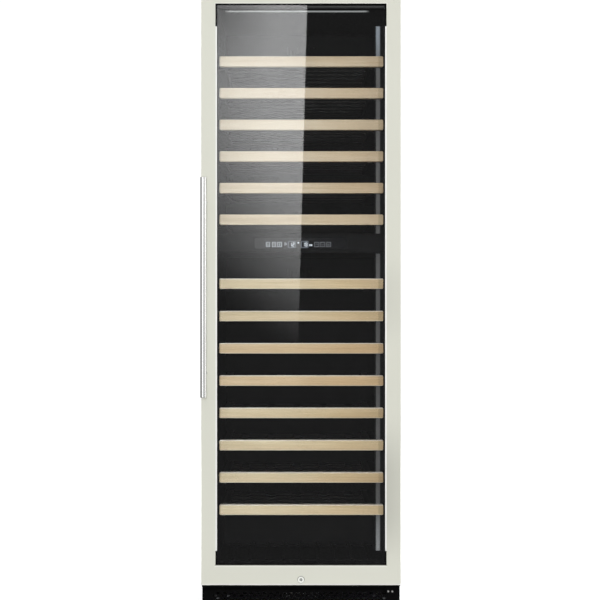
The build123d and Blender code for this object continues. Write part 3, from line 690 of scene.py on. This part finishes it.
def arc(cx, cz, r, a0, a1, n=14):
    return [(cx + r * math.cos(math.radians(a0 + (a1 - a0) * k / n)), cz + r * math.sin(math.radians(a0 + (a1 - a0) * k / n))) for k in range(n + 1)]


def rect_sweep(bm, profile, hx, z0, z1):
    """A closed profile of (inset, depth) points carried round a rectangle with mitred corners."""
    rows = []
    for u, d in profile:
        rows.append([bm.verts.new((x, Y_CAB + d, z)) for x, z in ((-hx + u, z0 + u), (hx - u, z0 + u), (hx - u, z1 - u), (-hx + u, z1 - u))])
    for a in range(len(rows)):
        r, s = rows[a], rows[(a + 1) % len(rows)]
        for i in range(4):
            j = (i + 1) % 4
            bm.faces.new((r[i], r[j], s[j], s[i]))


# ------------------------------------------------------------------ control strip: lit marks
BRIGHT = glow("display_bright", (0.84, 0.92, 1.0), 1.03)
SOFT = glow("display_soft", (0.86, 0.93, 1.0), 0.56)
FAINT = glow("display_faint", (0.72, 0.84, 1.0), 0.217)
DIM = glow("display_dim", (0.86, 0.92, 1.0), 0.163)
D0, D1 = 9.75, 10.0

SEGMENTS = {
    "0": "abcdef", "1": "bc", "2": "abged", "3": "abgcd", "4": "fgbc", "5": "afgcd", "6": "afgedc", "7": "abc", "8": "abcdefg", "9": "abcdfg",
}


def digit(bm, ch, x, z, w, h, t):
    """Seven-segment figure with its lower left corner at x, z."""
    places = {
        "a": ((x, z + h), (x + w, z + h)), "b": ((x + w, z + h), (x + w, z + h / 2)), "c": ((x + w, z + h / 2), (x + w, z)),
        "d": ((x, z), (x + w, z)), "e": ((x, z + h / 2), (x, z)), "f": ((x, z + h), (x, z + h / 2)), "g": ((x, z + h / 2), (x + w, z + h / 2)),
    }
    for s in SEGMENTS[ch]:
        (ax, az), (bx, bz) = places[s]
        a, b = Vector((ax, az)), Vector((bx, bz))
        u = (b - a).normalized()
        n = Vector((-u.y, u.x))
        g = 0.15 * t
        a, b = a + u * g, b - u * g
        pts = [a, a + u * t / 2 + n * t / 2, b - u * t / 2 + n * t / 2, b, b - u * t / 2 - n * t / 2, a + u * t / 2 - n * t / 2]
        prism(bm, [tuple(p) for p in pts], D0, D1)


ZC = 1096.3  # middle height of the marks

bm = bmesh.new()
for x, text in ((-33.6, "12"), (5.2, "18")):
    for k, ch in enumerate(text):
        digit(bm, ch, x + 8.4 * k, ZC - 5.6, 5.0, 11.2, 2.2)
# degree dot and the two small lamps beside the second figures
prism(bm, rrect(-10.2, -5.6, ZC + 2.6, ZC + 7.0, 1.6, 4), D0, D1)
for x in (27.2, 32.2):
    prism(bm, rrect(x - 1.9, x + 1.9, ZC - 4.6, ZC + 0.6, 0.8, 2), D0, D1)
finish_mesh(bm, "display_figures", BRIGHT, "cabinet")

bm = bmesh.new()
for x0, x1 in ((-39.4, -15.2), (0.2, 22.6)):
    ring(bm, rrect(x0, x1, ZC - 10.4, ZC + 10.4, 2.6), rrect(x0 + 2.2, x1 - 2.2, ZC - 8.2, ZC + 8.2, 1.4), D0, D1)
finish_mesh(bm, "display_windows", FAINT, "cabinet")

# left keys: power, light, zones, and a small fan mark beside the first figures
bm = bmesh.new()
for x0, x1 in ((-105.8, -93.4), (-87.6, -75.2), (-71.8, -57.6)):
    ring(bm, rrect(x0, x1, ZC - 7.7, ZC + 7.7, 2.4), rrect(x0 + 1.9, x1 - 1.9, ZC - 5.8, ZC + 5.8, 1.2), D0, D1)
c = -99.6
stroke(bm, arc(c, ZC - 0.6, 2.6, 130, 410, 16), 1.2, D0, D1)
stroke(bm, [(c, ZC - 0.4), (c, ZC + 3.6)], 1.2, D0, D1)
c = -81.4
stroke(bm, arc(c, ZC + 0.8, 2.4, -55, 235, 16), 1.1, D0, D1)
stroke(bm, [(c - 1.5, ZC - 3.4), (c + 1.5, ZC - 3.4)], 1.1, D0, D1)
c = -64.7
stroke(bm, [(c, ZC - 4.4), (c, ZC + 4.4)], 1.8, D0, D1)
stroke(bm, [(c - 3.4, ZC), (c - 1.4, ZC)], 1.2, D0, D1)
stroke(bm, [(c + 1.4, ZC), (c + 3.4, ZC)], 1.2, D0, D1)
c = -46.6
for k in range(3):
    a = 90 + 120 * k
    tip = (c + 5.6 * math.cos(math.radians(a)), ZC + 1.4 + 5.6 * math.sin(math.radians(a)))
    side = (c + 4.8 * math.cos(math.radians(a + 55)), ZC + 1.4 + 4.8 * math.sin(math.radians(a + 55)))
    prism(bm, [(c, ZC + 1.4), tip, side], D0, D1)
finish_mesh(bm, "display_keys_left", SOFT, "cabinet")

# right keys: up, down, child lock
bm = bmesh.new()
for x0, x1 in ((39.6, 54.6), (57.6, 72.6), (75.8, 90.8)):
    ring(bm, rrect(x0, x1, ZC - 7.7, ZC + 7.7, 2.4), rrect(x0 + 1.9, x1 - 1.9, ZC - 5.8, ZC + 5.8, 1.2), D0, D1)
c = 47.1
stroke(bm, [(c - 3.4, ZC - 1.6), (c, ZC + 2.2), (c + 3.4, ZC - 1.6)], 1.2, D0, D1)
c = 65.1
stroke(bm, [(c - 3.4, ZC + 1.6), (c, ZC - 2.2), (c + 3.4, ZC + 1.6)], 1.2, D0, D1)
c = 83.3
stroke(bm, [(c - 2.6, ZC - 3.4), (c + 2.6, ZC - 3.4), (c + 2.6, ZC + 0.4), (c - 2.6, ZC + 0.4)], 1.0, D0, D1, closed=True)
stroke(bm, arc(c, ZC + 0.4, 1.9, 0, 180, 10), 1.0, D0, D1)
finish_mesh(bm, "display_keys_right", DIM, "cabinet")

# ------------------------------------------------------------------ door seals
GASKET = [
    (1.0, -8.0), (15.0, -8.0), (15.0, -7.3), (11.6, -6.7), (11.0, -5.7), (13.4, -5.0), (17.4, -5.3), (18.0, -4.6), (14.6, -3.9), (14.2, -1.4),
    (13.4, -0.4), (11.8, 0.0), (4.2, 0.0), (2.6, -0.4), (1.8, -1.4), (1.6, -4.2), (2.2, -5.2), (4.4, -5.7), (4.0, -6.7), (1.0, -7.3),
]
bm = bmesh.new()
rect_sweep(bm, GASKET, 286.0, 112.0, 1842.0)
gasket = finish_mesh(bm, "door_seal_bellows", SLOTS["black_rubber"], "door")
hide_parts("door_gasket")

SEAL = [(0.1, -47.5), (0.1, -49.3), (0.9, -49.6), (2.6, -49.0), (3.6, -48.0), (3.8, -47.5)]
bm = bmesh.new()
rect_sweep(bm, SEAL, 255.1, 138.3, 1812.6)
finish_mesh(bm, "glazing_seal", SLOTS["black_rubber"], "door")

def turned(bm, x, z, profile, n=48):
    """A closed profile of (radius, depth) points turned about the line of depth at x, z."""
    rows = [[bm.verts.new((x + r * math.cos(2 * math.pi * k / n), Y_CAB + d, z + r * math.sin(2 * math.pi * k / n))) for k in range(n)] for r, d in profile]
    for a in range(len(rows)):
        r, t = rows[a], rows[(a + 1) % len(rows)]
        for i in range(n):
            j = (i + 1) % n
            bm.faces.new((r[i], r[j], t[j], t[i]))


# turned collars where the handle's posts rise from their feet
bm = bmesh.new()
for z in (712.5, 1219.5):
    turned(bm, -288.5, z, [(6.05, -53.0), (6.05, -54.6), (6.5, -54.9), (7.4, -54.5), (8.0, -53.8), (8.3, -53.0)])
handle_collars = finish_mesh(bm, "handle_collars", SLOTS["stainless_steel"], "door")

# lower face of the spacer bar, seen through the outer pane just under the top rail
bm = bmesh.new()
BEAD = [(-42.6, 1808.6), (-42.6, 1801.0), (-41.8, 1800.0), (-29.2, 1800.0), (-28.4, 1801.0), (-28.4, 1808.6)]
ends = [[bm.verts.new((x, Y_CAB + d, z)) for d, z in BEAD] for x in (-249.0, 249.0)]
bm.faces.new(ends[0])
bm.faces.new(ends[1][::-1])
for i in range(len(BEAD)):
    j = (i + 1) % len(BEAD)
    bm.faces.new((ends[0][i], ends[1][i], ends[1][j], ends[0][j]))
finish_mesh(bm, "spacer_bead", spacer_grey(), "door")

# keyway plate on the barrel's face: a shallow dished ring, split by the key slot
bm = bmesh.new()
for side in (-1, 1):
    outer = [(side * x, z) for x, z in arc(0.0, 95.0, 4.6, -76, 76, 18)]
    inner = [(side * 1.0, 95.0 + 3.9), (side * 1.0, 95.0 - 3.9)]
    prism(bm, outer + inner, -52.65, -52.4)
finish_mesh(bm, "lock_keyway", SLOTS["galvanised_steel"], "lock")

# ------------------------------------------------------------------ studio
def stage_plane(name, corners, material, **flags):
    me = bpy.data.meshes.new(name)
    me.from_pydata(corners, [], [list(range(len(corners)))])
    ob = bpy.data.objects.new(name, me)
    scene.collection.objects.link(ob)
    me.materials.append(material)
    for key, value in flags.items():
        setattr(ob, key, value)
    return ob


floor_mat = Mat("pale_floor")
floor_mat.set(
    Base_Color=floor_mat.ramp(floor_mat.noise(scale=0.6, detail=3), (0.3, (0.70, 0.70, 0.695)), (0.7, (0.72, 0.72, 0.715))),
    Roughness=floor_mat.span(floor_mat.noise(scale=6, detail=3), 0.3, 0.7, 0.75, 0.85),
    Emission_Color=(1.0, 1.0, 0.995, 1.0),
    Emission_Strength=0.60,
)
stage_plane("floor", [(-30, -30, 0), (30, -30, 0), (30, 30, 0), (-30, 30, 0)], floor_mat.mat, visible_glossy=False, visible_diffuse=False)

# a dark screen behind the camera, with a window-like patch of light in it, for the mirror image in the glass
card = Mat("studio_screen", principled=False)
x, y, z = card.axes()
# across and down, in steps of one six-hundredth of the picture as the glass mirrors it
across = card.math("MULTIPLY_ADD", x, 147.96, 300.43)
down = card.math("MULTIPLY_ADD", z, -147.96, 437.40)
edge_x = card.math("MULTIPLY_ADD", down, -0.0268, 307.3)
inside = card.span(card.math("SUBTRACT", edge_x, across), -0.6, 0.6, 0.0, 1.0, True)
fade = card.math("MULTIPLY_ADD", card.math("SUBTRACT", 292.0, across), 0.73, down)
fall = card.span(fade, 120.0, 362.0, 1.0, 0.0, True)
side = card.span(across, 222.0, 272.0, 0.70, 1.0)
corner = card.math("MULTIPLY", card.span(across, 222.0, 272.0, 1.0, 0.0), card.span(down, 5.0, 62.0, 1.0, 0.0))
light = card.math("MULTIPLY", card.math("MULTIPLY", inside, fall), card.math("MULTIPLY", side, card.math("MULTIPLY_ADD", corner, -0.42, 1.0)))
shine = card.node("ShaderNodeEmission")
shine.inputs["Color"].default_value = (1.0, 1.0, 1.0, 1.0)
light = card.math("MULTIPLY", light, card.span(down, 9.0, 10.5, 1.55, 1.0))
card.put(shine.inputs["Strength"], card.math("MULTIPLY_ADD", light, 2.57, 0.093))
card.put(card.out.inputs[0], shine.outputs[0])
stage_plane(
    "screen", [(-0.72, -6.0, -1.25), (0.72, -6.0, -1.25), (0.72, -6.0, 3.25), (-0.72, -6.0, 3.25)], card.mat,
    visible_camera=False, visible_diffuse=False, visible_transmission=False, visible_shadow=False,
)

world = bpy.data.worlds.new("studio")
scene.world = world
world.use_nodes = True
wt = world.node_tree
wt.nodes.clear()
w_out = wt.nodes.new("ShaderNodeOutputWorld")
w_mix = wt.nodes.new("ShaderNodeMixShader")
w_path = wt.nodes.new("ShaderNodeLightPath")
w_room = wt.nodes.new("ShaderNodeBackground")
w_back = wt.nodes.new("ShaderNodeBackground")
w_dir = wt.nodes.new("ShaderNodeTexCoord")
w_axes = wt.nodes.new("ShaderNodeSeparateXYZ")
w_fall = wt.nodes.new("ShaderNodeMapRange")
w_fall.interpolation_type = "SMOOTHSTEP"
for key, v in (("From Min", -0.30), ("From Max", 0.35), ("To Min", 0.20), ("To Max", 0.66)):
    w_fall.inputs[key].default_value = v
wt.links.new(w_dir.outputs["Generated"], w_axes.inputs[0])
wt.links.new(w_axes.outputs["Z"], w_fall.inputs["Value"])
wt.links.new(w_fall.outputs[0], w_room.inputs["Strength"])
w_room.inputs["Color"].default_value = (0.99, 0.993, 1.0, 1.0)
w_back.inputs["Color"].default_value = (1.0, 1.0, 0.998, 1.0)
w_back.inputs["Strength"].default_value = 1.05
wt.links.new(w_path.outputs["Is Camera Ray"], w_mix.inputs[0])
wt.links.new(w_room.outputs[0], w_mix.inputs[1])
wt.links.new(w_back.outputs[0], w_mix.inputs[2])
wt.links.new(w_mix.outputs[0], w_out.inputs[0])


def softbox(name, place, target, size, watts, colour=(1.0, 1.0, 1.0)):
    lamp = bpy.data.lights.new(name, "AREA")
    lamp.shape = "RECTANGLE"
    lamp.size, lamp.size_y = size
    lamp.energy = watts
    lamp.color = colour
    ob = bpy.data.objects.new(name, lamp)
    scene.collection.objects.link(ob)
    ob.location = place
    ob.rotation_euler = (Vector(target) - Vector(place)).to_track_quat("-Z", "Y").to_euler()
    ob.visible_camera = False
    return ob


# an even frontal fill for the matt surfaces
fill = softbox("front_fill", (0.0, -9.0, 0.93), (0.0, -0.3, 0.93), (0.9, 3.4), 480)
fill.visible_glossy = False
softbox("above", (0.0, -3.2, 4.4), (0.0, -0.2, 1.0), (2.6, 1.4), 5)
side_left = softbox("side_left", (-4.2, 0.4, 2.0), (0.0, 0.1, 1.0), (1.6, 2.2), 55)
side_left.visible_glossy = False
softbox("side_right", (4.2, 0.4, 2.0), (0.0, 0.1, 1.0), (1.6, 2.2), 55)
softbox("back", (0.8, 3.8, 2.6), (0.0, 0.3, 1.0), (2.4, 1.8), 70)


def for_these(lamp, name, obs):
    """Keep a lamp for some objects alone."""
    group = bpy.data.collections.new(name)
    for ob in obs:
        group.objects.link(ob)
    lamp.light_linking.receiver_collection = group
    return group


# broad cards for the gloss of the handle: ahead of it, to its left, and far to its right
handle_obs = [NODES["handle_bar"], NODES["handle_posts"], handle_collars]
HX, HY = -0.2885, -0.343
for_these(softbox("handle_front", (HX + 1.2, HY - 4.0, 0.95), (HX, HY, 0.95), (5.6, 3.6), 20), "handle_set_a", handle_obs)
for_these(softbox("handle_key", (HX - 1.95, HY - 4.0, 0.95), (HX, HY, 0.95), (2.7, 3.6), 40), "handle_set_b", handle_obs)
for_these(softbox("handle_edge", (HX + 3.6, HY, 0.95), (HX, HY, 0.95), (2.8, 3.6), 42), "handle_set_c", handle_obs)
# more light for the bright strips beside the glass and for the lock
bright_obs = [NODES["glazing_trims"], NODES["lock_body"], NODES["lock_cylinder"]]
for_these(softbox("trim_front", (0.0, -4.4, 0.95), (0.0, -0.3, 0.95), (4.0, 3.6), 36), "trim_set", bright_obs)
# a narrow strip ahead of the shelves' left ends, for the shelves alone
shelf_strip = softbox("shelf_strip", (-0.21, -0.70, 0.93), (-0.21, -0.23, 0.93), (0.08, 2.6), 4.8, (0.70, 0.88, 1.0))
shelf_strip.visible_glossy = False
for_these(shelf_strip, "shelf_set", [ob for name, ob in NODES.items() if name.startswith("shelf_") and name != "shelf_rails"])

camera = bpy.data.objects.new("camera", bpy.data.cameras.new("camera"))
scene.collection.objects.link(camera)
camera.location = (-0.0029, -4.803, 0.9286)
camera.rotation_euler = (math.radians(90), 0, 0)
camera.data.sensor_width = 36.0
camera.data.lens = 90.57
camera.data.clip_end = 200
scene.camera = camera

scene.view_settings.view_transform = "Standard"
scene.cycles.transparent_max_bounces = 24
